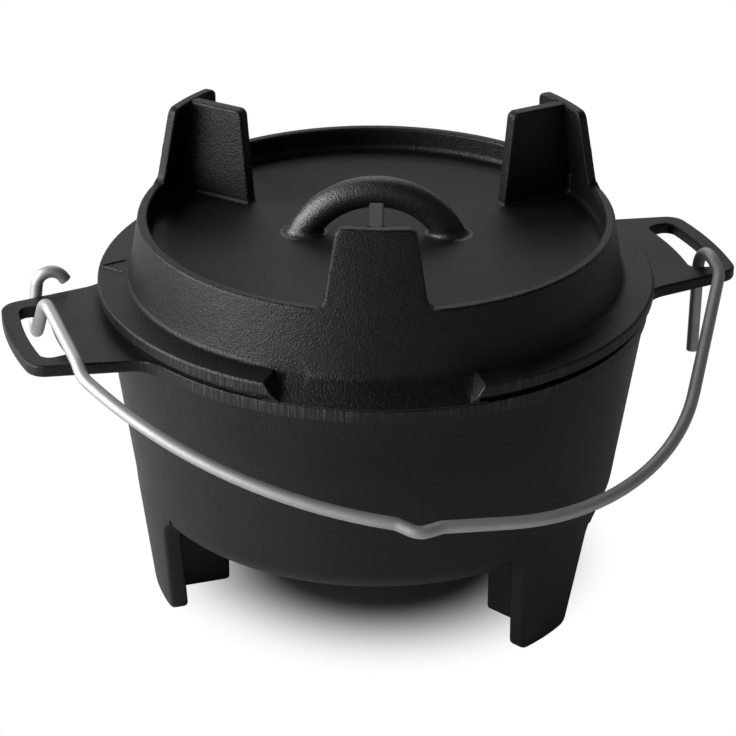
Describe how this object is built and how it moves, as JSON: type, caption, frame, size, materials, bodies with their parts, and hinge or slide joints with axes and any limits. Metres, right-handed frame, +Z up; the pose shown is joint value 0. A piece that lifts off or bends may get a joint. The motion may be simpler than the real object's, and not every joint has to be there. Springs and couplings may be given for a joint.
{
  "type": "camp dutch oven",
  "caption": "Footed cast-iron camp oven with slotted ears, a lift-off lid with a coal ring, legs and arched handle, and a hooked wire bail that swings over the pot.",
  "frame": {"origin": "on the level floor under the pot's axis, midway between the soles of the three pot legs", "axes": "+Z up along the pot's axis, +X towards the right ear with both ears on the X axis, -Y to the front where the bail hangs"},
  "size_m": [0.363, 0.2948, 0.232],
  "materials": {
    "pot_iron": "matte seasoned black with a fine sand-cast grain",
    "lid_iron": "matte seasoned black with a fine sand-cast grain",
    "bail_steel": "plain satin zinc-bright steel wire"
  },
  "bodies": {
    "pot": {"pot_body": "pot_iron", "ear_left": "pot_iron", "ear_right": "pot_iron", "pot_leg_left": "pot_iron", "pot_leg_front": "pot_iron", "pot_leg_back": "pot_iron"},
    "lid": {"lid_body": "lid_iron", "lid_leg_front": "lid_iron", "lid_leg_right": "lid_iron", "lid_leg_left": "lid_iron", "lid_handle": "lid_iron"},
    "bail": {"bail_run": "bail_steel", "bail_hook_left": "bail_steel", "bail_hook_right": "bail_steel"}
  },
  "joints": [
    {"name": "lid_lift", "type": "slide", "parent": "pot", "child": "lid", "axis": [0, 0, 1], "range_m": [0, 0.15]},
    {"name": "bail_swing", "type": "hinge", "parent": "pot", "child": "bail", "pos_m": [0, 0, 0.152], "axis": [-0.9805, 0.1964, 0], "range_deg": [0, 183]}
  ]
}
